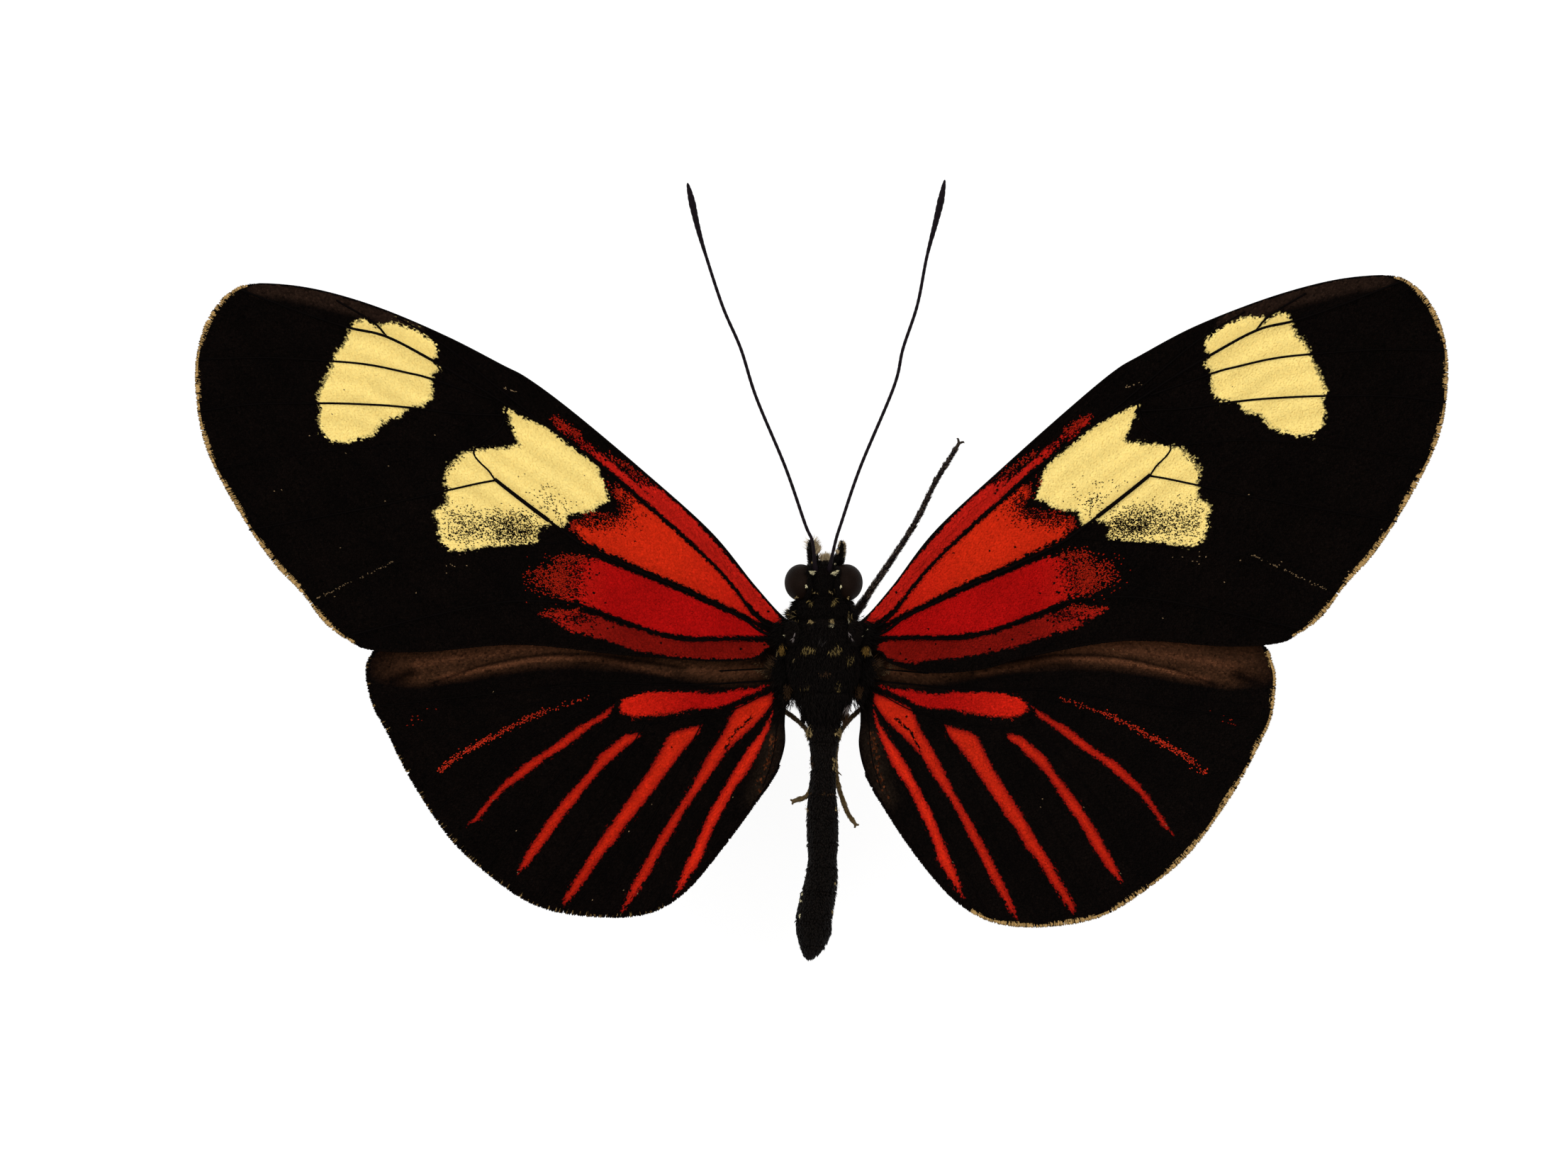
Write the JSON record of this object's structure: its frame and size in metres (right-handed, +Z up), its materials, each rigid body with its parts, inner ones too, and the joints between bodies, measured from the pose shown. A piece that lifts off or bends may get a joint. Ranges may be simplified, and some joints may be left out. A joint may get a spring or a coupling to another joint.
{
  "type": "crimson-patched longwing butterfly model",
  "caption": "Life-size spread butterfly with long black forewings marked red and yellow and rayed red hindwings, on a small display stand.",
  "frame": {"origin": "on the underside of the stand's base, straight below the middle of the thorax", "axes": "+X towards the insect's right wing tip, +Y towards its head, +Z up"},
  "size_m": [0.072, 0.0449, 0.0227],
  "materials": {
    "body": "short black hair and scales",
    "eyes": "glossy dark brown",
    "feelers": "satin black",
    "legs": "scaled dark brown",
    "forewings": "scaled black with red and yellow patches",
    "hindwings": "scaled black with red rays",
    "stand_base": "satin white",
    "stand_rod": "satin"
  },
  "bodies": {
    "root": {"thorax": "body", "prothorax": "body", "head": "body", "abdomen": "body", "eye_left": "eyes", "eye_right": "eyes", "palp_left": "body", "palp_right": "body", "proboscis": "feelers", "antenna_left": "feelers", "antenna_right": "feelers", "foreleg_left": "legs", "foreleg_right": "legs", "midleg_left": "legs", "midleg_right": "legs", "hindleg_left": "legs", "hindleg_right": "legs", "forewing_left": "forewings", "forewing_right": "forewings", "hindwing_left": "hindwings", "hindwing_right": "hindwings", "stand_base": "stand_base", "stand_rod": "stand_rod"}
  },
  "joints": []
}
